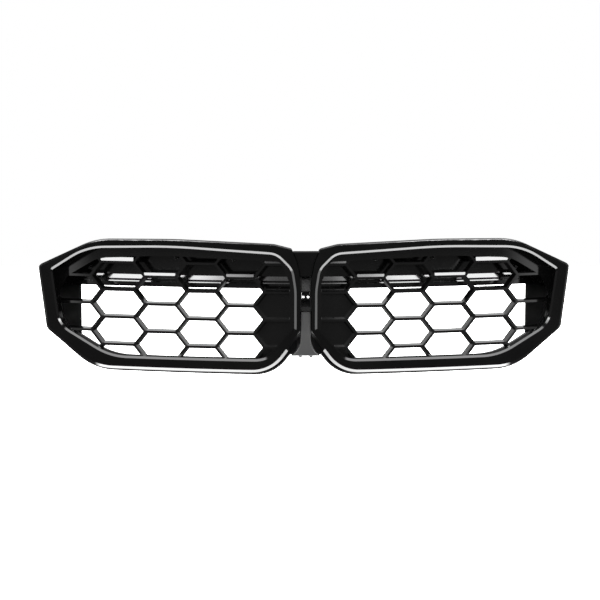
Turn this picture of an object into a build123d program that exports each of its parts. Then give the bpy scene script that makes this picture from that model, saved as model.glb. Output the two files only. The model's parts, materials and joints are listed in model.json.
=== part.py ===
"""Front grille for a saloon car: two swept kidneys with hexagon meshes on one carrier.

Millimetres. +X is to the right as seen from in front, +Y is rearwards, +Z is up. The origin
is at the mouth of the screw hole in the rear face of the centre post, on the symmetry plane.
The right half is drawn, and the left half is its mirror image.

Every surface of a kidney lies a stated depth behind one swept reference surface: an upright
cylinder whose plan arc falls back from the nose towards the end of the grille.
"""

import math
import os

from build123d import *

os.makedirs("parts", exist_ok=True)

# Swept reference surface
SWEEP_RADIUS = 1400.0
SWEEP_X = -120.0
NOSE_Y = -70.0
SWEEP_Y = NOSE_Y + math.sqrt(SWEEP_RADIUS**2 - SWEEP_X**2)
LEAN = 0.12
END_X = 450.0
REACH_Z = 130.0
REAR_PLANE_Y = 130.0
FRONT_PLANE_Y = -130.0

# Depths behind the reference surface
MESH_FRONT = 24.0
MESH_REAR = 36.0
FLANGE_REAR = 39.0
BAFFLE_FRONT = 56.0
BAFFLE_REAR = 58.5
DUCT_REAR = 72.0
GAP = 0.2

# Surround section
FACE_BEVEL = 3.4
FACE_BEVEL_DEPTH = 2.4
EDGE_BEVEL = 4.6
TOP_EDGE_RADIUS = 2.5
TOP_EDGE_LOW_Z = 80.0
END_CORNER_RADIUS = 10.5
END_WALL_X = 408.0
END_CORNER_LOW_Z = 45.0
END_CORNER_HIGH_Z = 75.0
TOP_SLANT = 0.12

# Hexagon mesh
CELL_HEIGHT = 43.0
CELL_RUN = 17.0
FIRST_COLUMN_X = 43.2
FIRST_FLAT = 38.5
FLAT_STEP = 3.4
COLUMN_COUNT = 6
MIDDLE_ROW_Z = 2.0
BAR_FRONT = 3.6
BAR_REAR = 7.6

# Sloping crests that stand on the upper bars and on the upper baffle
CREST_LEAN = 0.23
TOP_BAR_CREST = 6.0
SECOND_BAR_CREST = 4.4
CREST_DEPTH = 6.0
BAFFLE_CRESTS = ((39.0, 6.4, 3.0), (34.0, 1.6, 1.0))

# Carrier
WALL = 3.0
RIM_WALL = 2.4
FLANGE_OUTSET = 2.5
DUCT_OUTSET = 5.0
END_PANEL_X = 356.0
BAFFLE_LOW_Z = 26.5
PLATE_REAR = 38.0
PLATE_TOP_Z = 28.5
POST_HALF_WIDTH = 13.0
POST_BACK_HALF_WIDTH = 17.5
POST_FRONT_Y = NOSE_Y + MESH_FRONT + 1.4
POST_STEP_Y = NOSE_Y + MESH_REAR + 2.2
SEAT_HALF_WIDTH = 12.0
POST_TOP_Z = 84.0
POST_LOW_Z = -70.0
CENTRE_HOLE_RADIUS = 1.9
CENTRE_HOLE_DEPTH = 16.0

# Lugs for the car
UPPER_LUG_XS = (90.0, 290.0)
UPPER_LUG_WIDTH = 26.0
UPPER_LUG_ROOT = 4.5
UPPER_LUG_LOW_Z = 86.0
UPPER_LUG_TOP_Z = 89.0
UPPER_LUG_HOLE_DEPTH = 86.0
UPPER_LUG_HOLE_RADIUS = 4.1
LOWER_LUG_X = 200.0
LOWER_LUG_WIDTH = 24.0
LOWER_LUG_HOLE_Z = -93.0
LOWER_LUG_HOLE_RADIUS = 3.3

# Screws
SCREW_RADIUS = 1.75
PILOT_RADIUS = 1.85
CLEAR_RADIUS = 2.2
SCREW_LENGTH = 12.0
HEAD_RADIUS = 3.6
HEAD_HEIGHT = 2.3
BOSS_RADIUS = 3.9
SURROUND_SCREWS = ((110.0, -94.5), (200.0, -94.5), (290.0, -94.0), (403.0, 10.0))

# Snap hooks along the top of a surround, as (x, lower z)
HOOKS = ((75.0, 91.2), (155.0, 94.2), (235.0, 95.3), (294.0, 93.9))
HOOK_WIDTH = 12.0
HOOK_THICKNESS = 2.0
HOOK_BARB = 1.6
HOOK_PLAY = 0.3
MESH_BORDER_LAP = 1.8

# Screws that hold the smaller pieces, as (x, z)
BAFFLE_SCREWS = ((110.0, 72.0), (200.0, 74.0), (290.0, 71.0))
BLANKING_SCREWS = ((43.2, 23.5), (43.2, -19.5))
NOSE_SCREWS = ((0.0, 60.0), (0.0, 75.5))
HOUSING_SCREWS = ((0.0, 38.0), (0.0, 46.0))
TRIM_SCREWS = ((0.0, -22.0), (0.0, -56.0))
BOSS_DEPTH_IN_MESH = 32.0
SHORT_SCREW = 7.0

# Centre column
NOSE_FRONT_Y = -73.5
NOSE_FRONT_Z = 70.0
NOSE_COVER = ((8.1, 51.0), (12.8, 73.0), (18.5, 87.5))
HOUSING_HALF_WIDTH = 8.2
HOUSING_FRONT_Y = -66.0
HOUSING_LOW_Z = -2.4
HOUSING_TOP_Z = 50.0
CHANNEL_LOW_Z = 29.0
CHANNEL_HALF_WIDTH = 6.2
CAP_HALF_WIDTH = 6.2
CAP_LOW_Z = 13.5
CAP_TOP_Z = 25.0
CAP_FRONT_Y = -52.0
CAP_HOLE_X = 3.7
CAP_HOLE_Z = 17.8
CAP_HOLE_RADIUS = 1.7
WINDOW_HALF_WIDTH = 7.4
WINDOW_LOW_Z = 3.6
WINDOW_TOP_Z = 27.0
TRIM_FRONT_Y = -63.0
TRIM_HALF_WIDTH = 7.6
TRIM_TOP_Z = -3.6
TRIM_LOW_Z = -71.3
TRIM_FOOT_X = 21.5
NUB_X = 7.9
NUB_WIDTH = 4.7
NUB_HEIGHT = 2.8

# Expanding rivets in the upper lugs
RIVET_HEAD_RADIUS = 8.0
RIVET_HEAD_HEIGHT = 2.0
RIVET_RADIUS = 3.95
RIVET_LENGTH = 10.2
RIVET_NECK_RADIUS = 3.7
RIVET_SLIT = 1.2
RIVET_SLIT_HEIGHT = 4.5
PIN_RADIUS = 2.5
PIN_PLAY = 0.05
PIN_HEAD_RADIUS = 5.0
PIN_HEAD_HEIGHT = 1.6


def swept_y(x, depth=0.0):
    """Y of the upright surface that lies a depth behind the reference surface, at x."""
    radius = SWEEP_RADIUS - depth
    return SWEEP_Y - math.sqrt(radius**2 - (x - SWEEP_X) ** 2)


def sweep_angle(x):
    """Angle in radians by which the reference surface is turned back at x."""
    return math.asin((x - SWEEP_X) / SWEEP_RADIUS)


def slid_back(x, z):
    """Height on the rear plane of a slanted wall that meets the front surface at x, z."""
    front_y = swept_y(x) - LEAN * z
    return z - TOP_SLANT * (REAR_PLANE_Y - front_y)


def rear_plane():
    """Upright sketch plane behind the grille, facing forwards, with its Y axis up."""
    return Plane.XZ.offset(-REAR_PLANE_Y)


def slab(near_depth, far_depth):
    """The right half of the space between two upright swept surfaces."""
    near = [(x, swept_y(x, near_depth)) for x in (0, END_X / 2, END_X)]
    far = [(x, swept_y(x, far_depth)) for x in (END_X, END_X / 2, 0)]
    with BuildPart() as space:
        with BuildSketch(Plane.XY.offset(-REACH_Z)):
            with BuildLine():
                ThreePointArc(*near)
                Line(near[-1], far[0])
                ThreePointArc(*far)
                Line(far[-1], near[0])
            make_face()
        extrude(amount=2 * REACH_Z)
    return space.part


def space_behind_lean():
    """The right half of the space behind the front surface, which leans forward at the top."""
    drift = LEAN * REACH_Z
    near = [(x, swept_y(x) + drift) for x in (0, END_X / 2, END_X)]
    length = 2 * REACH_Z * math.hypot(1, LEAN)
    with BuildPart() as space:
        with BuildSketch(Plane.XY.offset(-REACH_Z)):
            with BuildLine():
                ThreePointArc(*near)
                Polyline(near[-1], (END_X, 2 * REAR_PLANE_Y), (0, 2 * REAR_PLANE_Y), near[0])
            make_face()
        extrude(amount=length, dir=(0, -LEAN, 1))
    return space.part


def opening_outline(inset):
    """Edge of a kidney's opening on its front face, moved inwards by inset."""
    corners = [
        (14.0, -31.0),
        (57.0, -81.3),
        (304.0, -81.4),
        (386.5, -34.0),
        (397.5, 56.0),
        (338.0, 93.5),
        (205.0, 97.0),
        (43.5, 87.3),
        (19.0, 62.5),
        (14.0, 30.0),
    ]
    radii = [6, 45, 100, 40, 8, 110, 900, 30, 30, 100]
    with BuildSketch(rear_plane()) as outline:
        with BuildLine():
            FilletPolyline(*corners, radius=radii, close=True)
        make_face()
        if inset:
            offset(amount=-inset)
    return outline.sketch


def mesh_outline(outset):
    """Edge of a mesh's open field, moved outwards by outset."""
    corners = [
        (24.0, -34.0),
        (62.0, -78.9),
        (302.0, -79.0),
        (378.0, -36.0),
        (389.0, 12.0),
        (373.0, 43.0),
        (322.0, 73.0),
        (215.0, 78.0),
        (38.0, 71.0),
        (24.0, 38.0),
    ]
    radii = [6, 45, 100, 35, 25, 30, 60, 700, 10, 20]
    with BuildSketch(rear_plane()) as outline:
        with BuildLine():
            FilletPolyline(*corners, radius=radii, close=True)
        make_face()
        if outset:
            offset(amount=outset)
    return outline.sketch


def surround_outline():
    """Sides and bottom of a surround, with straight walls; the roof cuts it off at the top."""
    corners = [
        (8.6, -40.0),
        (52.4, -99.2),
        (331.6, -99.2),
        (406.0, -39.5),
        (421.4, 100.0),
        (421.4, REACH_Z),
        (37.3, REACH_Z),
        (14.0, 74.0),
        (8.6, 48.0),
    ]
    radii = [0, 60, 90, 12, 0, 0, 0, 20, 10]
    with BuildSketch(rear_plane()) as outline:
        with BuildLine():
            FilletPolyline(*corners, radius=radii, close=True)
        make_face()
    return outline.sketch


def surround_roof():
    """Space under a surround's top wall, which slopes down from the front edge to the rear."""
    crown = [(0.0, 89.0), (48.0, 101.0), (200.0, 107.0), (322.0, 105.5), (END_X, 45.5)]
    corners = [(0.0, -2 * REACH_Z)] + [(x, slid_back(x, z)) for x, z in crown]
    corners.append((END_X, -2 * REACH_Z))
    with BuildPart() as space:
        with BuildSketch(rear_plane()):
            with BuildLine():
                FilletPolyline(*corners, radius=[0, 40, 900, 110, 0])
                Line(corners[-1], corners[0])
            make_face()
        extrude(amount=2 * REAR_PLANE_Y * math.hypot(1, TOP_SLANT), dir=(0, -1, TOP_SLANT))
    return space.part


def carrier_outline(inset):
    """Outer edge of the carrier's rim, moved inwards by inset, from the centre line outwards."""
    corners = [
        (0.0, -71.5),
        (23.5, -71.5),
        (48.3, -103.5),
        (331.0, -103.0),
        (406.0, -43.0),
        (413.5, 53.0),
        (326.0, 98.8),
        (200.0, 100.5),
        (48.0, 95.0),
        (24.0, 86.5),
        (0.0, 86.5),
    ]
    radii = [0, 60, 90, 12, 8, 110, 900, 40, 5]
    with BuildSketch(rear_plane()) as outline:
        with BuildLine():
            FilletPolyline(*corners, radius=radii)
            Line(corners[-1], corners[0])
        make_face()
        if inset:
            offset(amount=-inset)
    return outline.sketch


def front_face(piece):
    """The swept front face of a ring-shaped piece, found as the foremost face with a hole."""
    ringed = piece.faces().filter_by(lambda face: len(face.inner_wires()) > 0)
    return ringed.sort_by(Axis.Y)[0]


def rearward(x, y, z):
    """Plane at a point that faces rearwards, for bosses and screws along Y."""
    return Plane(origin=(x, y, z), x_dir=(1, 0, 0), z_dir=(0, 1, 0))


def screw(seat, length=SCREW_LENGTH):
    """Pan-head screw, with its head standing on a seat plane and its shank going through it."""
    with BuildPart() as piece:
        with BuildSketch(seat):
            Circle(HEAD_RADIUS)
        extrude(amount=HEAD_HEIGHT)
        crown = piece.faces().sort_by(Axis(seat.origin, seat.z_dir))[-1]
        fillet(crown.edges(), HEAD_HEIGHT / 2)
        with BuildSketch(seat.offset(HEAD_HEIGHT)):
            RegularPolygon(radius=1.3, side_count=6)
        extrude(amount=-1.2, mode=Mode.SUBTRACT)
        with BuildSketch(seat):
            Circle(SCREW_RADIUS)
        extrude(amount=-length)
    return piece.part


def drilled(x, mouth_y, z, radius, depth):
    """Round hole tool that runs forwards from mouth_y."""
    with BuildPart() as tool:
        with BuildSketch(rearward(x, mouth_y, z)):
            Circle(radius)
        extrude(amount=-depth)
    return tool.part


def swept_prism(outline, near_depth, far_depth):
    """Solid that has an upright outline and fills the space between two swept surfaces."""
    with BuildPart() as piece:
        extrude(outline, amount=2 * REAR_PLANE_Y)
        add(slab(near_depth, far_depth), mode=Mode.INTERSECT)
    return piece.part


def box(x_span, y_span, z_span):
    """Box between two x, two y and two z values."""
    with BuildPart() as piece:
        with BuildSketch(Plane.XY.offset(z_span[0])):
            with Locations((x_span[0], y_span[0])):
                width = x_span[1] - x_span[0]
                Rectangle(width, y_span[1] - y_span[0], align=(Align.MIN, Align.MIN))
        extrude(amount=z_span[1] - z_span[0])
    return piece.part


def mirrored(part):
    """The left-hand twin of a right-hand part."""
    with BuildPart() as twin:
        mirror(part, about=Plane.YZ)
    return twin.part


def head_seat_y(x, depth):
    """Y at which a screw head rests on the rear side of a swept surface."""
    return swept_y(x + HEAD_RADIUS, depth) + GAP / 4


def screw_set(places, depth, length=SCREW_LENGTH):
    """A group of screws seated on the swept surface at a depth."""
    with BuildPart() as group:
        for x, z in places:
            add(screw(rearward(x, head_seat_y(x, depth), z), length))
    return group.part


def baffle_screws():
    """Screws driven rearwards through the right baffle into the carrier's bosses."""
    with BuildPart() as group:
        for x, z in BAFFLE_SCREWS:
            seat_y = swept_y(x - HEAD_RADIUS, BAFFLE_FRONT) - GAP / 4
            seat = Plane(origin=(x, seat_y, z), x_dir=(1, 0, 0), z_dir=(0, -1, 0))
            add(screw(seat))
    return group.part


def is_end_corner(edge):
    """True for the edge along Y where a surround's roof meets its outer end wall."""
    middle = edge.center()
    size = edge.bounding_box().size
    beside_roof = END_CORNER_LOW_Z < middle.Z < END_CORNER_HIGH_Z
    return middle.X > END_WALL_X and beside_roof and size.Y > MESH_FRONT / 2 > size.Z


def surround():
    """Right surround: a bevelled ring with screw bosses and snap hooks on its rear."""
    with BuildPart() as piece:
        extrude(surround_outline(), amount=2 * REAR_PLANE_Y)
        add(surround_roof(), mode=Mode.INTERSECT)
        add(space_behind_lean(), mode=Mode.INTERSECT)
        add(slab(MESH_FRONT, 2 * REAR_PLANE_Y), mode=Mode.SUBTRACT)
        extrude(opening_outline(FACE_BEVEL), amount=2 * REAR_PLANE_Y, mode=Mode.SUBTRACT)
        low = front_face(piece).outer_wire().edges().filter_by(lambda edge: edge.center().Z < 0)
        chamfer(low.sort_by(SortBy.LENGTH)[-1], EDGE_BEVEL)
        face = front_face(piece)
        chamfer(face.inner_wires()[0].edges(), FACE_BEVEL, FACE_BEVEL_DEPTH, reference=face)
        fillet(piece.edges().filter_by(is_end_corner), END_CORNER_RADIUS)
        high = front_face(piece).outer_wire().edges().filter_by(lambda edge: edge.center().Z > TOP_EDGE_LOW_Z)
        fillet(high.sort_by(SortBy.LENGTH)[-1], TOP_EDGE_RADIUS)
        for x, z in SURROUND_SCREWS:
            with BuildSketch(rearward(x, swept_y(x, MESH_FRONT) - WALL, z)):
                Circle(BOSS_RADIUS)
            extrude(amount=MESH_REAR - MESH_FRONT + 2 * WALL)
        add(slab(MESH_REAR - GAP, 2 * REAR_PLANE_Y), mode=Mode.SUBTRACT)
        for x, z in SURROUND_SCREWS:
            mouth_y = swept_y(x, MESH_REAR) + WALL
            add(drilled(x, mouth_y, z, PILOT_RADIUS, SCREW_LENGTH + WALL), mode=Mode.SUBTRACT)
        for x, z in HOOKS:
            root_y = swept_y(x, MESH_FRONT) - WALL
            barb_y = swept_y(x + HOOK_WIDTH / 2, FLANGE_REAR) + GAP
            side = (x - HOOK_WIDTH / 2, x + HOOK_WIDTH / 2)
            add(box(side, (root_y, barb_y), (z, z + HOOK_THICKNESS)))
            add(box(side, (barb_y, barb_y + HOOK_BARB), (z, z + HOOK_THICKNESS + HOOK_BARB)))
    return piece.part


def crest(x_span, low_z, height, near_depth, far_depth):
    """Low band along a swept surface whose front face leans back towards its top."""
    x_low, x_high = x_span
    middle = (x_low + x_high) / 2
    near = [(x, swept_y(x, near_depth)) for x in (x_low, middle, x_high)]
    far = [(x, swept_y(x, far_depth)) for x in (x_high, middle, x_low)]
    with BuildPart() as band:
        with BuildSketch(Plane.XY.offset(low_z)):
            with BuildLine():
                ThreePointArc(*near)
                Line(near[-1], far[0])
                ThreePointArc(*far)
                Line(far[-1], near[0])
            make_face()
        extrude(amount=height * math.hypot(1, CREST_LEAN), dir=(0, CREST_LEAN, 1))
    return band.part


def hexagon(plane, half_flat, run, inset):
    """Flat-topped cell outline on a plane, moved inwards by inset on every side."""
    half_height = CELL_HEIGHT / 2
    slope = math.hypot(run, half_height)
    tip = half_flat + run - inset * slope / half_height
    flat = half_flat - inset * (slope - run) / half_height
    top = half_height - inset
    with BuildSketch(plane) as cell:
        with BuildLine():
            Polyline((tip, 0), (flat, top), (-flat, top), (-tip, 0), (-flat, -top), (flat, -top), close=True)
        make_face()
    return cell.sketch


def column(index):
    """Centre x and half the flat width of a column of cells, counted from the centre."""
    x = FIRST_COLUMN_X
    flat = FIRST_FLAT
    for _ in range(index):
        x += flat + FLAT_STEP / 2 + CELL_RUN
        flat += FLAT_STEP
    return x, flat / 2


def cell_tools():
    """Tapered tools for all cells: wide at the front of the mesh, narrower at its rear."""
    lead = 4.0
    taper = (BAR_REAR - BAR_FRONT) / 2 / (MESH_REAR - MESH_FRONT)
    with BuildPart() as tools:
        for index in range(COLUMN_COUNT):
            x, half_flat = column(index)
            angle = sweep_angle(x)
            stretch = 1 / math.cos(angle)
            for step in range(-2, 3):
                z = MIDDLE_ROW_Z + CELL_HEIGHT * (step + 0.5 * (index % 2))
                face = Plane(
                    origin=(x, swept_y(x, MESH_FRONT), z),
                    x_dir=(math.cos(angle), math.sin(angle), 0),
                    z_dir=(math.sin(angle), -math.cos(angle), 0),
                )
                front_inset = BAR_FRONT / 2 - lead * taper
                rear_inset = BAR_REAR / 2 + lead * taper
                front = hexagon(face.offset(lead), half_flat * stretch, CELL_RUN * stretch, front_inset)
                rear_plane_here = face.offset(MESH_FRONT - MESH_REAR - lead)
                rear = hexagon(rear_plane_here, half_flat * stretch, CELL_RUN * stretch, rear_inset)
                loft([front, rear])
    return tools.part


def bar_crests():
    """Crests on the bars that cross the blanked-off upper part of the mesh."""
    with BuildPart() as crests:
        for index in range(COLUMN_COUNT - 1):
            x, half_flat = column(index)
            row_z = MIDDLE_ROW_Z + CELL_HEIGHT * (1.5 if index % 2 == 0 else 1.0)
            height = TOP_BAR_CREST if index % 2 == 0 else SECOND_BAR_CREST
            side = (x - half_flat, x + half_flat)
            near_depth = MESH_FRONT + 2 * GAP
            low_z = row_z + BAR_FRONT / 2 - GAP
            add(crest(side, low_z, height, near_depth, near_depth + CREST_DEPTH))
    return crests.part


def mesh():
    """Right mesh: tapered hexagon bars inside a plain border that the surround covers."""
    with BuildPart() as field:
        add(cell_tools())
        extrude(mesh_outline(0), amount=2 * REAR_PLANE_Y, mode=Mode.INTERSECT)
    with BuildPart() as piece:
        border = opening_outline(FACE_BEVEL - MESH_BORDER_LAP)
        add(swept_prism(border, MESH_FRONT + GAP, MESH_REAR - GAP))
        extrude(carrier_outline(RIM_WALL + GAP), amount=2 * REAR_PLANE_Y, mode=Mode.INTERSECT)
        add(field.part, mode=Mode.SUBTRACT)
        add(bar_crests())
        for x, z in BLANKING_SCREWS:
            with BuildSketch(rearward(x, swept_y(x, BOSS_DEPTH_IN_MESH), z)):
                Circle(BOSS_RADIUS)
            extrude(amount=MESH_REAR - BOSS_DEPTH_IN_MESH + WALL)
        add(slab(MESH_REAR - GAP, 2 * MESH_REAR), mode=Mode.SUBTRACT)
        for x, z in BLANKING_SCREWS:
            mouth_y = swept_y(x, MESH_REAR) + WALL
            add(drilled(x, mouth_y, z, PILOT_RADIUS, SHORT_SCREW + WALL), mode=Mode.SUBTRACT)
    return piece.part


def baffle():
    """Right upper baffle: closes the upper part of the duct behind the mesh, with two crests."""
    outline = mesh_outline(DUCT_OUTSET - 2 * GAP)
    with BuildPart() as crests:
        for low_z, height, proud in BAFFLE_CRESTS:
            add(crest((0, END_X), low_z, height, BAFFLE_FRONT - proud, BAFFLE_FRONT + GAP))
        extrude(outline, amount=2 * REAR_PLANE_Y, mode=Mode.INTERSECT)
    with BuildPart() as piece:
        add(swept_prism(outline, BAFFLE_FRONT, BAFFLE_REAR))
        add(crests.part)
        add(box((0, END_X), (FRONT_PLANE_Y, REAR_PLANE_Y), (-REACH_Z, BAFFLE_LOW_Z)), mode=Mode.SUBTRACT)
        for x, z in BAFFLE_SCREWS:
            mouth_y = swept_y(x, BAFFLE_REAR) + WALL
            add(drilled(x, mouth_y, z, CLEAR_RADIUS, 3 * WALL), mode=Mode.SUBTRACT)
    return piece.part


def blanking_plate():
    """Right blanking plate: closes the innermost cells below the baffle, along their edges."""
    valley_x = FIRST_COLUMN_X + FIRST_FLAT / 2
    corners = [(0.0, -REACH_Z)]
    for step in range(-3, 1):
        z = MIDDLE_ROW_Z + CELL_HEIGHT * step
        corners.append((valley_x + CELL_RUN, z))
        corners.append((valley_x, z + CELL_HEIGHT / 2))
    corners.append((valley_x, PLATE_TOP_Z))
    corners.append((0.0, PLATE_TOP_Z))
    with BuildPart() as piece:
        add(swept_prism(mesh_outline(FLANGE_OUTSET - 1.0), MESH_REAR, PLATE_REAR))
        with BuildSketch(rear_plane()):
            with BuildLine():
                Polyline(*corners, close=True)
            make_face()
        extrude(amount=2 * REAR_PLANE_Y, mode=Mode.INTERSECT)
        for x, z in BLANKING_SCREWS:
            mouth_y = swept_y(x, PLATE_REAR) + WALL
            add(drilled(x, mouth_y, z, CLEAR_RADIUS, 3 * WALL), mode=Mode.SUBTRACT)
    return piece.part


def end_panel():
    """Panel that closes the right duct at its outer end."""
    with BuildPart() as panel:
        add(swept_prism(mesh_outline(DUCT_OUTSET + 1.0), DUCT_REAR - WALL, DUCT_REAR))
        inner_space = box((0, END_PANEL_X), (FRONT_PLANE_Y, REAR_PLANE_Y), (-REACH_Z, REACH_Z))
        add(inner_space, mode=Mode.SUBTRACT)
    return panel.part


def upper_lug(x):
    """Flat lug with a rivet hole, and the thicker root that carries it back from the flange."""
    side = (x - UPPER_LUG_WIDTH / 2, x + UPPER_LUG_WIDTH / 2)
    hole_y = swept_y(x, UPPER_LUG_HOLE_DEPTH)
    tab_rear_y = hole_y + UPPER_LUG_WIDTH / 2
    root_low_z = UPPER_LUG_LOW_Z - UPPER_LUG_ROOT
    with BuildPart() as lug:
        add(box(side, (FRONT_PLANE_Y, swept_y(x, DUCT_REAR)), (root_low_z, UPPER_LUG_TOP_Z)))
        add(box(side, (FRONT_PLANE_Y, tab_rear_y), (UPPER_LUG_LOW_Z, UPPER_LUG_TOP_Z)))
        add(slab(2 * NOSE_Y, FLANGE_REAR - 1.0), mode=Mode.SUBTRACT)
        with BuildSketch(Plane.XY.offset(UPPER_LUG_TOP_Z + 1)):
            with Locations((x, hole_y)):
                Circle(UPPER_LUG_HOLE_RADIUS)
        extrude(amount=-2 * WALL, mode=Mode.SUBTRACT)
    return lug.part


def carrier_half():
    """Right half of the carrier: rim, flange, duct, end panel, baffle bosses and lugs."""
    with BuildPart() as half:
        add(swept_prism(carrier_outline(0), MESH_FRONT + GAP, FLANGE_REAR))
        add(swept_prism(carrier_outline(RIM_WALL), 0, MESH_REAR), mode=Mode.SUBTRACT)
        extrude(mesh_outline(FLANGE_OUTSET), amount=2 * REAR_PLANE_Y, mode=Mode.SUBTRACT)
        add(swept_prism(mesh_outline(DUCT_OUTSET + WALL), MESH_REAR, DUCT_REAR))
        add(swept_prism(mesh_outline(DUCT_OUTSET), FLANGE_REAR, DUCT_REAR + GAP), mode=Mode.SUBTRACT)
        extrude(mesh_outline(FLANGE_OUTSET), amount=2 * REAR_PLANE_Y, mode=Mode.SUBTRACT)
        add(end_panel())
        for x, z in BAFFLE_SCREWS:
            front_y = swept_y(x + BOSS_RADIUS, BAFFLE_REAR) + GAP
            rear_y = swept_y(x, DUCT_REAR) - 1.0
            with BuildSketch(rearward(x, front_y, z)):
                Circle(BOSS_RADIUS)
            extrude(amount=rear_y - front_y)
            side = (x - WALL, x + WALL)
            add(box(side, (front_y, rear_y), (z, z + 11.0)))
        for x, z in BAFFLE_SCREWS:
            rear_y = swept_y(x, DUCT_REAR)
            depth = rear_y - swept_y(x, BAFFLE_REAR) - GAP
            add(drilled(x, rear_y - 2.0, z, PILOT_RADIUS, depth), mode=Mode.SUBTRACT)
        for x, z in SURROUND_SCREWS:
            mouth_y = swept_y(x, FLANGE_REAR) + WALL
            add(drilled(x, mouth_y, z, CLEAR_RADIUS, 3 * WALL), mode=Mode.SUBTRACT)
        for x, z in HOOKS:
            side = (x - HOOK_WIDTH / 2 - HOOK_PLAY, x + HOOK_WIDTH / 2 + HOOK_PLAY)
            through = (swept_y(x, MESH_REAR) - 2 * WALL, swept_y(x, FLANGE_REAR) + 2 * WALL)
            high = (z - HOOK_PLAY, z + HOOK_THICKNESS + HOOK_PLAY / 2)
            add(box(side, through, high), mode=Mode.SUBTRACT)
        for x in UPPER_LUG_XS:
            add(upper_lug(x))
        lug_y = swept_y(LOWER_LUG_X, DUCT_REAR) - 2 * WALL
        side = (LOWER_LUG_X - LOWER_LUG_WIDTH / 2, LOWER_LUG_X + LOWER_LUG_WIDTH / 2)
        add(box(side, (lug_y, lug_y + WALL), (LOWER_LUG_HOLE_Z - 8.0, LOWER_LUG_HOLE_Z + 8.0)))
        hole = drilled(LOWER_LUG_X, lug_y + 2 * WALL, LOWER_LUG_HOLE_Z, LOWER_LUG_HOLE_RADIUS, 3 * WALL)
        add(hole, mode=Mode.SUBTRACT)
    return half.part


def carrier():
    """Whole carrier: both halves, joined by a centre post with a window for the camera."""
    half = carrier_half()
    with BuildPart() as piece:
        add(half)
        mirror(half, about=Plane.YZ)
        front = (-POST_HALF_WIDTH, POST_HALF_WIDTH)
        back = (-POST_BACK_HALF_WIDTH, POST_BACK_HALF_WIDTH)
        add(box(front, (POST_FRONT_Y, POST_STEP_Y), (POST_LOW_Z, POST_TOP_Z)))
        seat = (-SEAT_HALF_WIDTH, SEAT_HALF_WIDTH)
        add(box(seat, (FRONT_PLANE_Y, POST_FRONT_Y), (-REACH_Z, REACH_Z)), mode=Mode.SUBTRACT)
        add(box(back, (POST_STEP_Y, 0), (POST_LOW_Z, POST_TOP_Z)))
        pocket = (-POST_HALF_WIDTH + WALL, POST_HALF_WIDTH - WALL)
        for low_z, high_z in ((POST_LOW_Z + WALL, -8.0), (32.0, POST_TOP_Z - WALL)):
            add(box(pocket, (POST_FRONT_Y + WALL, 0), (low_z, high_z)), mode=Mode.SUBTRACT)
        window = (-CAP_HALF_WIDTH - 1.0, CAP_HALF_WIDTH + 1.0)
        add(box(window, (POST_FRONT_Y, 0), (CAP_LOW_Z - 4.0, CAP_TOP_Z + 2.0)), mode=Mode.SUBTRACT)
        add(drilled(0, 0, 0, CENTRE_HOLE_RADIUS, CENTRE_HOLE_DEPTH), mode=Mode.SUBTRACT)
        for x, z in NOSE_SCREWS + HOUSING_SCREWS + TRIM_SCREWS:
            mouth_y = POST_FRONT_Y + 2 * WALL
            add(drilled(x, mouth_y, z, CLEAR_RADIUS, 3 * WALL), mode=Mode.SUBTRACT)
    return piece.part


def nose_cover():
    """Cover between the kidneys at the top: a leaning front wall with a hollow rear."""
    right = list(NOSE_COVER)
    left = [(-x, z) for x, z in reversed(right)]
    with BuildPart() as piece:
        with BuildSketch(Plane.XZ.offset(-POST_FRONT_Y + GAP)):
            with BuildLine():
                Polyline(*(right + left), close=True)
            make_face()
        extrude(amount=POST_FRONT_Y - FRONT_PLANE_Y)
        low_z, high_z = right[0][1], right[-1][1]
        with BuildSketch(Plane.YZ):
            with BuildLine():
                Polyline(
                    (POST_FRONT_Y, low_z),
                    (POST_FRONT_Y, high_z),
                    (NOSE_FRONT_Y - LEAN * (high_z - NOSE_FRONT_Z), high_z),
                    (NOSE_FRONT_Y - LEAN * (low_z - NOSE_FRONT_Z), low_z),
                    close=True,
                )
            make_face()
        extrude(amount=END_X, both=True, mode=Mode.INTERSECT)
        for x, z in NOSE_SCREWS:
            mouth_y = POST_FRONT_Y + WALL
            add(drilled(x, mouth_y, z, PILOT_RADIUS, SCREW_LENGTH + WALL), mode=Mode.SUBTRACT)
    return piece.part


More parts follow.
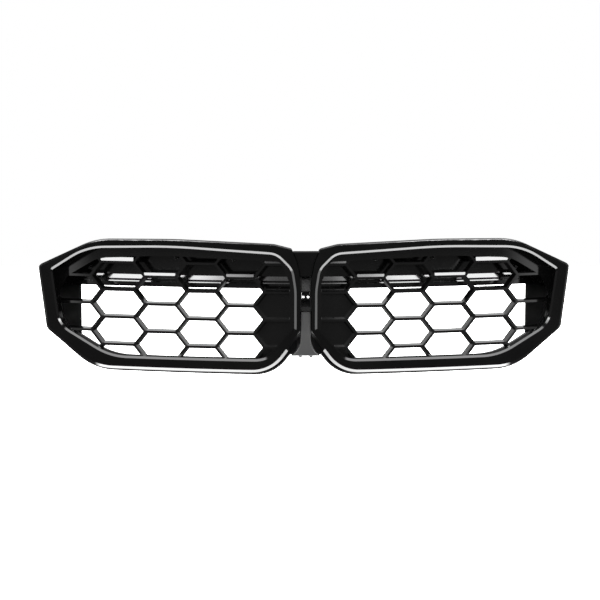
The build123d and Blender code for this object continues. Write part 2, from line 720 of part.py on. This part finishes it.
def camera_housing():
    """Housing in the centre column: a sloping channel above a funnel-shaped window."""
    side = (-HOUSING_HALF_WIDTH, HOUSING_HALF_WIDTH)
    rear_y = POST_FRONT_Y - GAP
    with BuildPart() as piece:
        add(box(side, (HOUSING_FRONT_Y, rear_y), (HOUSING_LOW_Z, HOUSING_TOP_Z)))
        with BuildSketch(Plane.YZ.offset(-CHANNEL_HALF_WIDTH)):
            with BuildLine():
                Polyline(
                    (HOUSING_FRONT_Y - 1, HOUSING_TOP_Z + 1),
                    (HOUSING_FRONT_Y - 1, CHANNEL_LOW_Z),
                    (HOUSING_FRONT_Y + 2, CHANNEL_LOW_Z),
                    (HOUSING_FRONT_Y + 9, HOUSING_TOP_Z + 1),
                    close=True,
                )
            make_face()
        extrude(amount=2 * CHANNEL_HALF_WIDTH, mode=Mode.SUBTRACT)
        funnel = []
        mouths = (
            (HOUSING_FRONT_Y - 1.0, WINDOW_HALF_WIDTH, WINDOW_LOW_Z, WINDOW_TOP_Z),
            (CAP_FRONT_Y, CAP_HALF_WIDTH, CAP_LOW_Z, CAP_TOP_Z),
        )
        for y, half_width, low_z, top_z in mouths:
            with BuildSketch(Plane.XZ.offset(-y)) as mouth:
                with Locations((0, (low_z + top_z) / 2)):
                    Rectangle(2 * half_width, top_z - low_z)
            funnel.append(mouth.sketch)
        loft(funnel, mode=Mode.SUBTRACT)
        cap_side = (-CAP_HALF_WIDTH, CAP_HALF_WIDTH)
        add(box(cap_side, (CAP_FRONT_Y, 0), (CAP_LOW_Z, CAP_TOP_Z)), mode=Mode.SUBTRACT)
        for x, z in HOUSING_SCREWS:
            add(drilled(x, rear_y + WALL, z, PILOT_RADIUS, SHORT_SCREW + WALL), mode=Mode.SUBTRACT)
    return piece.part


def camera_cap():
    """Push-in cap for a grille without a camera, with two small round holes."""
    side = (-CAP_HALF_WIDTH + GAP, CAP_HALF_WIDTH - GAP)
    with BuildPart() as piece:
        add(box(side, (CAP_FRONT_Y, CAP_FRONT_Y + WALL), (CAP_LOW_Z + GAP, CAP_TOP_Z - GAP)))
        front = piece.faces().sort_by(Axis.Y)[0]
        fillet(front.edges(), 0.6)
        for x in (-CAP_HOLE_X, CAP_HOLE_X):
            tool = drilled(x, CAP_FRONT_Y + 2 * WALL, CAP_HOLE_Z, CAP_HOLE_RADIUS, 4 * WALL)
            add(tool, mode=Mode.SUBTRACT)
    return piece.part


def centre_trim():
    """Lower trim of the centre column: a narrow bar that flares to a flat foot with two nubs."""
    flare_z = -46.0
    flare_side = (TRIM_HALF_WIDTH + 4.6, -61.0)
    foot = (TRIM_FOOT_X, TRIM_LOW_Z)
    shoulder = (TRIM_HALF_WIDTH, flare_z)
    with BuildPart() as piece:
        with BuildSketch(Plane.XZ.offset(-POST_FRONT_Y + GAP)):
            with BuildLine():
                Line((0, TRIM_TOP_Z), (TRIM_HALF_WIDTH, TRIM_TOP_Z))
                Line((TRIM_HALF_WIDTH, TRIM_TOP_Z), shoulder)
                ThreePointArc(shoulder, flare_side, foot)
                Line(foot, (0, TRIM_LOW_Z))
                mirror(about=Plane.YZ)
            make_face()
            top = [corner for corner in vertices() if corner.Y > flare_z / 2]
            fillet([corner for corner in top if abs(corner.X) > 1], 3.0)
        extrude(amount=POST_FRONT_Y - TRIM_FRONT_Y - GAP)
        front = piece.faces().sort_by(Axis.Y)[0]
        fillet(front.edges(), 1.0)
        for x in (-NUB_X, NUB_X):
            side = (x - NUB_WIDTH / 2, x + NUB_WIDTH / 2)
            depth = (TRIM_FRONT_Y + 2 * WALL, POST_FRONT_Y - WALL)
            add(box(side, depth, (TRIM_LOW_Z - NUB_HEIGHT, TRIM_LOW_Z + 1)))
        for x, z in TRIM_SCREWS:
            mouth_y = POST_FRONT_Y + WALL
            add(drilled(x, mouth_y, z, PILOT_RADIUS, SCREW_LENGTH + WALL), mode=Mode.SUBTRACT)
    return piece.part


def centre_screws(places, length=SCREW_LENGTH):
    """A group of screws driven forwards through the front wall of the centre post."""
    with BuildPart() as group:
        for x, z in places:
            add(screw(rearward(x, POST_FRONT_Y + WALL + GAP / 4, z), length))
    return group.part


def rivet_body(x):
    """Expanding rivet in an upper lug: a head, and a slit shank round its pin."""
    y = swept_y(abs(x), UPPER_LUG_HOLE_DEPTH)
    low_z = UPPER_LUG_LOW_Z - RIVET_LENGTH
    with BuildPart() as piece:
        with BuildSketch(Plane.XY.offset(UPPER_LUG_TOP_Z)):
            with Locations((x, y)):
                Circle(RIVET_HEAD_RADIUS)
        extrude(amount=RIVET_HEAD_HEIGHT)
        fillet(piece.faces().sort_by(Axis.Z)[-1].edges(), RIVET_HEAD_HEIGHT / 2)
        with BuildSketch(Plane.XY.offset(low_z)):
            with Locations((x, y)):
                Circle(RIVET_RADIUS)
        extrude(amount=UPPER_LUG_LOW_Z - low_z)
        chamfer(piece.faces().sort_by(Axis.Z)[0].edges(), 0.8)
        with BuildSketch(Plane.XY.offset(UPPER_LUG_LOW_Z)):
            with Locations((x, y)):
                Circle(RIVET_NECK_RADIUS)
        extrude(amount=UPPER_LUG_TOP_Z - UPPER_LUG_LOW_Z)
        with BuildSketch(Plane.XY.offset(low_z - 1)):
            with Locations((x, y)):
                Circle(PIN_RADIUS + PIN_PLAY)
        extrude(amount=UPPER_LUG_TOP_Z - low_z + 2 * WALL, mode=Mode.SUBTRACT)
        slit = (x - RIVET_RADIUS - 1, x + RIVET_RADIUS + 1)
        across = (y - RIVET_SLIT / 2, y + RIVET_SLIT / 2)
        add(box(slit, across, (low_z - 1, low_z + RIVET_SLIT_HEIGHT)), mode=Mode.SUBTRACT)
    return piece.part


def rivet_pin(x):
    """Centre pin of an expanding rivet, pressed home; it slides up to release the rivet."""
    y = swept_y(abs(x), UPPER_LUG_HOLE_DEPTH)
    low_z = UPPER_LUG_LOW_Z - RIVET_LENGTH + 1.5
    head_z = UPPER_LUG_TOP_Z + RIVET_HEAD_HEIGHT + PIN_PLAY
    with BuildPart() as piece:
        with BuildSketch(Plane.XY.offset(head_z)):
            with Locations((x, y)):
                Circle(PIN_HEAD_RADIUS)
        extrude(amount=PIN_HEAD_HEIGHT)
        fillet(piece.faces().sort_by(Axis.Z)[-1].edges(), PIN_HEAD_HEIGHT / 2)
        with BuildSketch(Plane.XY.offset(low_z)):
            with Locations((x, y)):
                Circle(PIN_RADIUS)
        extrude(amount=head_z - low_z)
        chamfer(piece.faces().sort_by(Axis.Z)[0].edges(), 0.9)
    return piece.part


def write(name, part):
    """Label a finished piece and write its STEP file."""
    part.label = name
    export_step(part, f"parts/{name}.step")


def write_pair(name, part):
    """Write a right-hand piece and its left-hand twin."""
    write(f"{name}_right", part)
    write(f"{name}_left", mirrored(part))


write_pair("surround", surround())
write_pair("mesh", mesh())
write_pair("upper_baffle", baffle())
write_pair("blanking_plate", blanking_plate())
write_pair("surround_screws", screw_set(SURROUND_SCREWS, FLANGE_REAR))
write_pair("baffle_screws", baffle_screws())
write_pair("blanking_screws", screw_set(BLANKING_SCREWS, PLATE_REAR, SHORT_SCREW))
write("carrier_frame", carrier())
write("nose_cover", nose_cover())
write("camera_housing", camera_housing())
write("camera_cap", camera_cap())
write("centre_trim", centre_trim())
write("nose_cover_screws", centre_screws(NOSE_SCREWS))
write("camera_housing_screws", centre_screws(HOUSING_SCREWS, SHORT_SCREW))
write("centre_trim_screws", centre_screws(TRIM_SCREWS))
for number, lug_x in enumerate(sorted([-x for x in UPPER_LUG_XS] + list(UPPER_LUG_XS)), 1):
    write(f"rivet_body_{number}", rivet_body(lug_x))
    write(f"rivet_pin_{number}", rivet_pin(lug_x))
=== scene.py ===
import json
import math

import bpy
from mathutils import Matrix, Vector


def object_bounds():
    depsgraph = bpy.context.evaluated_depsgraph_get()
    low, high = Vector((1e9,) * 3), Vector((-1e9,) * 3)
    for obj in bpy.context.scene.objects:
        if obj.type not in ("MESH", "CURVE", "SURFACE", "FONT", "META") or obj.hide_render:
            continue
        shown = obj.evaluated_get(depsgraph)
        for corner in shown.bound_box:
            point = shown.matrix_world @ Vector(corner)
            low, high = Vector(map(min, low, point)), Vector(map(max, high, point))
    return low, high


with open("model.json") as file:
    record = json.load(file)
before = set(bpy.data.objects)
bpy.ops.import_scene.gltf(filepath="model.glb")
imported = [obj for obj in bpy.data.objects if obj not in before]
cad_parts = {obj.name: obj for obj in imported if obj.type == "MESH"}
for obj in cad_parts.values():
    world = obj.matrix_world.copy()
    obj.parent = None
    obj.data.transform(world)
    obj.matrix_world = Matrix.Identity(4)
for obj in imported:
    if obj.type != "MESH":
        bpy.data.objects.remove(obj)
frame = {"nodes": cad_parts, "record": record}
cad_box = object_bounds()

# Camera: far off and a little above, looking along +Y, as the photograph was taken
AIM = Vector((-0.008, -0.020, 0.010))
CAMERA_DISTANCE = 2.6
CAMERA_AZIMUTH = math.radians(-1.0)
CAMERA_ELEVATION = math.radians(6.0)
LENS = 101.1
SENSOR = 36.0

# Studio
FLOOR_DROP = 0.35
FLOOR_SIZE = 12.0
FLOOR_TONE = 0.87
FLOOR_ROUGHNESS = 0.9
WHITE = (1.0, 1.0, 1.0, 1.0)
EDGE_SOFTNESS = 4.0
ROOM_GLOW = 0.06

# What the gloss reflects: span of elevation, span of azimuth either side of the front, radiance.
# Angles are in degrees; azimuth 0 is towards the camera and 180 is behind the grille.
STUDIO_LIGHTS = (
    ((-95.0, -52.0), (-10.0, 190.0), 11.0),  # lit table under the grille
    ((-52.0, -34.0), (62.0, 108.0), 9.0),  # low softboxes at the two sides
    ((-35.0, 2.0), (62.0, 104.0), 2.6),  # side walls
    ((-11.0, 2.0), (47.0, 62.0), 1.6),  # front corners of the room
    ((-11.0, 2.0), (-10.0, 47.0), 0.12),  # wall behind the camera
    ((10.0, 29.0), (25.0, 54.0), 22.0),  # pair of softboxes, left and right of the camera
    ((10.0, 29.0), (18.0, 25.0), 8.0),  # their dimmer inner edges
    ((10.0, 29.0), (-10.0, 18.0), 1.2),  # wall between them
    ((40.0, 64.0), (-10.0, 120.0), 6.0),  # overhead softbox
    ((66.0, 95.0), (-10.0, 190.0), 1.2),  # ceiling
    ((15.0, 60.0), (125.0, 190.0), 1.4),  # lit wall behind, upper part
    ((-30.0, -6.0), (125.0, 190.0), 0.3),  # wall behind, lower part
)

# Moulded plastics and coatings: darkest and lightest tone, lowest and highest roughness,
# depth of the skin's slow waves and of its fine grain in metres, and index of refraction
PLASTICS = {
    "surround_gloss": (0.0012, 0.0018, 0.045, 0.085, 0.000004, 0.0000005, 1.52),
    "mesh_gloss": (0.0010, 0.0016, 0.08, 0.13, 0.000006, 0.000001, 1.50),
    "baffle_satin": (0.0012, 0.0020, 0.09, 0.14, 0.000003, 0.000001, 1.50),
    "carrier_black": (0.0040, 0.0060, 0.34, 0.46, 0.000010, 0.000030, 1.48),
    "housing_satin": (0.0020, 0.0030, 0.22, 0.30, 0.000010, 0.000008, 1.50),
    "cap_black": (0.0025, 0.0040, 0.34, 0.44, 0.000010, 0.000020, 1.48),
    "trim_satin": (0.0190, 0.0240, 0.30, 0.38, 0.000010, 0.000010, 1.50),
    "rivet_nylon": (0.0100, 0.0150, 0.38, 0.50, 0.000010, 0.000020, 1.50),
    "screw_black": (0.0020, 0.0035, 0.30, 0.45, 0.000010, 0.000020, 1.50),
}

# Noise textures, as features per metre, detail and roughness; they mostly stay inside the span
SMUDGE = (14.0, 4.0, 0.6)
WAVE = (190.0, 1.0, 0.4)
GRAIN = (900.0, 2.0, 0.5)
NOISE_SPAN = (0.3, 0.7)

# Zinc-plated steel of the hidden screws
ZINC_DARK = (0.50, 0.49, 0.47)
ZINC_LIGHT = (0.62, 0.61, 0.60)
ZINC_ROUGHNESS = (0.26, 0.42)
ZINC_CLOUD = (260.0, 3.0, 0.6)
ZINC_SCRATCH = (2400.0, 2.0, 0.5)
ZINC_SCRATCH_DEPTH = 0.00003


def new_material(name):
    """A material with an empty node tree, its output and a Principled shader."""
    material = bpy.data.materials.new(name)
    material.use_nodes = True
    nodes = material.node_tree.nodes
    nodes.clear()
    output = nodes.new("ShaderNodeOutputMaterial")
    shader = nodes.new("ShaderNodeBsdfPrincipled")
    material.node_tree.links.new(shader.outputs["BSDF"], output.inputs["Surface"])
    return material, shader


def noise(tree, scale, detail, roughness):
    """Noise in the object's own coordinates."""
    place = tree.nodes.new("ShaderNodeTexCoord")
    texture = tree.nodes.new("ShaderNodeTexNoise")
    texture.inputs["Scale"].default_value = scale
    texture.inputs["Detail"].default_value = detail
    texture.inputs["Roughness"].default_value = roughness
    tree.links.new(place.outputs["Object"], texture.inputs["Vector"])
    return texture.outputs["Fac"]


def spread(tree, value, low, high, span=NOISE_SPAN):
    """Maps a value from a span on to the range from low to high."""
    node = tree.nodes.new("ShaderNodeMapRange")
    node.inputs["From Min"].default_value = span[0]
    node.inputs["From Max"].default_value = span[1]
    node.inputs["To Min"].default_value = low
    node.inputs["To Max"].default_value = high
    tree.links.new(value, node.inputs["Value"])
    return node.outputs["Result"]


def bump(tree, height, distance, normal=None):
    """Bump node; distance is in metres."""
    node = tree.nodes.new("ShaderNodeBump")
    node.inputs["Distance"].default_value = distance
    tree.links.new(height, node.inputs["Height"])
    if normal is not None:
        tree.links.new(normal, node.inputs["Normal"])
    return node.outputs["Normal"]


def tinted(tree, value, dark, light):
    """Colour that wanders between two close tones with a noise value."""
    ramp = tree.nodes.new("ShaderNodeValToRGB")
    for stop, place, tone in zip(ramp.color_ramp.elements, NOISE_SPAN, (dark, light)):
        stop.position = place
        stop.color = (*tone, 1.0)
    tree.links.new(value, ramp.inputs["Fac"])
    return ramp.outputs["Color"]


def plastic(name, dark, light, smooth, rough, wave, grain, ior):
    """Moulded plastic with faint smudges, a slow waviness of its skin and a fine grain."""
    material, shader = new_material(name)
    tree = material.node_tree
    smudge = noise(tree, *SMUDGE)
    tone = tinted(tree, smudge, (dark, dark, dark), (light, light, light))
    tree.links.new(tone, shader.inputs["Base Color"])
    tree.links.new(spread(tree, smudge, smooth, rough), shader.inputs["Roughness"])
    shader.inputs["IOR"].default_value = ior
    wavy = bump(tree, noise(tree, *WAVE), wave)
    grained = bump(tree, noise(tree, *GRAIN), grain, wavy)
    tree.links.new(grained, shader.inputs["Normal"])
    return material


def zinc(name):
    """Zinc-plated steel with a faint warm passivation."""
    material, shader = new_material(name)
    tree = material.node_tree
    cloud = noise(tree, *ZINC_CLOUD)
    tree.links.new(tinted(tree, cloud, ZINC_DARK, ZINC_LIGHT), shader.inputs["Base Color"])
    shader.inputs["Metallic"].default_value = 1.0
    tree.links.new(spread(tree, cloud, *ZINC_ROUGHNESS), shader.inputs["Roughness"])
    scratch = bump(tree, noise(tree, *ZINC_SCRATCH), ZINC_SCRATCH_DEPTH)
    tree.links.new(scratch, shader.inputs["Normal"])
    return material


def finish_nodes():
    """Gives every CAD node the material of its slot."""
    materials = {slot: plastic(slot, *look) for slot, look in PLASTICS.items()}
    materials["screw_steel"] = zinc("screw_steel")
    for part in frame["record"]["subparts"]:
        slots = frame["nodes"][part["node"]].data.materials
        slots.clear()
        slots.append(materials[part["material_slot"]])


def math_node(tree, operation, first, second=None):
    """Maths node on one or two values or numbers."""
    node = tree.nodes.new("ShaderNodeMath")
    node.operation = operation
    for socket, value in zip(node.inputs, (first, second)):
        if isinstance(value, (int, float)):
            socket.default_value = value
        elif value is not None:
            tree.links.new(value, socket)
    return node.outputs[0]


def window(tree, value, low, high):
    """1 while the value lies between low and high, with soft edges, and 0 elsewhere."""
    half = EDGE_SOFTNESS / 2
    rise = spread(tree, value, 0.0, 1.0, (low - half, low + half))
    fall = spread(tree, value, 1.0, 0.0, (high - half, high + half))
    return math_node(tree, "MULTIPLY", rise, fall)


def sky_angles(tree):
    """Elevation of a direction, and its azimuth away from the front, in degrees."""
    place = tree.nodes.new("ShaderNodeTexCoord")
    split = tree.nodes.new("ShaderNodeSeparateXYZ")
    tree.links.new(place.outputs["Generated"], split.inputs["Vector"])
    elevation = math_node(tree, "DEGREES", math_node(tree, "ARCSINE", split.outputs["Z"]))
    ahead = math_node(tree, "MULTIPLY", split.outputs["Y"], -1.0)
    aside = math_node(tree, "ABSOLUTE", split.outputs["X"])
    return elevation, math_node(tree, "DEGREES", math_node(tree, "ARCTAN2", aside, ahead))


def studio_light():
    """World that is white to the eye and lights the surfaces with the studio's soft lights."""
    world = bpy.data.worlds.new("studio")
    bpy.context.scene.world = world
    world.use_nodes = True
    tree = world.node_tree
    tree.nodes.clear()
    output = tree.nodes.new("ShaderNodeOutputWorld")
    mix = tree.nodes.new("ShaderNodeMixShader")
    path = tree.nodes.new("ShaderNodeLightPath")
    seen = tree.nodes.new("ShaderNodeBackground")
    glow = tree.nodes.new("ShaderNodeBackground")
    seen.inputs["Color"].default_value = WHITE
    glow.inputs["Color"].default_value = WHITE
    elevation, azimuth = sky_angles(tree)
    total = ROOM_GLOW
    for high_span, side_span, radiance in STUDIO_LIGHTS:
        high = window(tree, elevation, *high_span)
        aside = window(tree, azimuth, *side_span)
        share = math_node(tree, "MULTIPLY", math_node(tree, "MULTIPLY", high, aside), radiance)
        total = math_node(tree, "ADD", share, total)
    tree.links.new(total, glow.inputs["Strength"])
    tree.links.new(path.outputs["Is Camera Ray"], mix.inputs["Fac"])
    tree.links.new(glow.outputs["Background"], mix.inputs[1])
    tree.links.new(seen.outputs["Background"], mix.inputs[2])
    tree.links.new(mix.outputs["Shader"], output.inputs["Surface"])


def floor():
    """Pale floor below the grille; only the eye sees it, as the lights are in the world."""
    low = cad_box[0].z - FLOOR_DROP
    bpy.ops.mesh.primitive_plane_add(size=FLOOR_SIZE, location=(0, 0, low))
    plane = bpy.context.object
    plane.name = "studio_floor"
    plane.visible_glossy = False
    plane.visible_diffuse = False
    plane.visible_shadow = False
    material, shader = new_material("pale_floor")
    shader.inputs["Base Color"].default_value = (FLOOR_TONE, FLOOR_TONE, FLOOR_TONE, 1.0)
    shader.inputs["Roughness"].default_value = FLOOR_ROUGHNESS
    shader.inputs["Emission Color"].default_value = WHITE
    shader.inputs["Emission Strength"].default_value = 1.0
    plane.data.materials.append(material)


def camera():
    """Camera at the photograph's angle, with the photograph's long lens."""
    back = Vector(
        (
            math.sin(CAMERA_AZIMUTH) * math.cos(CAMERA_ELEVATION),
            -math.cos(CAMERA_AZIMUTH) * math.cos(CAMERA_ELEVATION),
            math.sin(CAMERA_ELEVATION),
        )
    )
    data = bpy.data.cameras.new("camera")
    data.lens = LENS
    data.sensor_width = SENSOR
    eye = bpy.data.objects.new("camera", data)
    bpy.context.scene.collection.objects.link(eye)
    eye.location = AIM + back * CAMERA_DISTANCE
    eye.rotation_euler = (-back).to_track_quat("-Z", "Y").to_euler()
    bpy.context.scene.camera = eye


finish_nodes()
studio_light()
floor()
camera()
bpy.context.scene.view_settings.view_transform = "Standard"
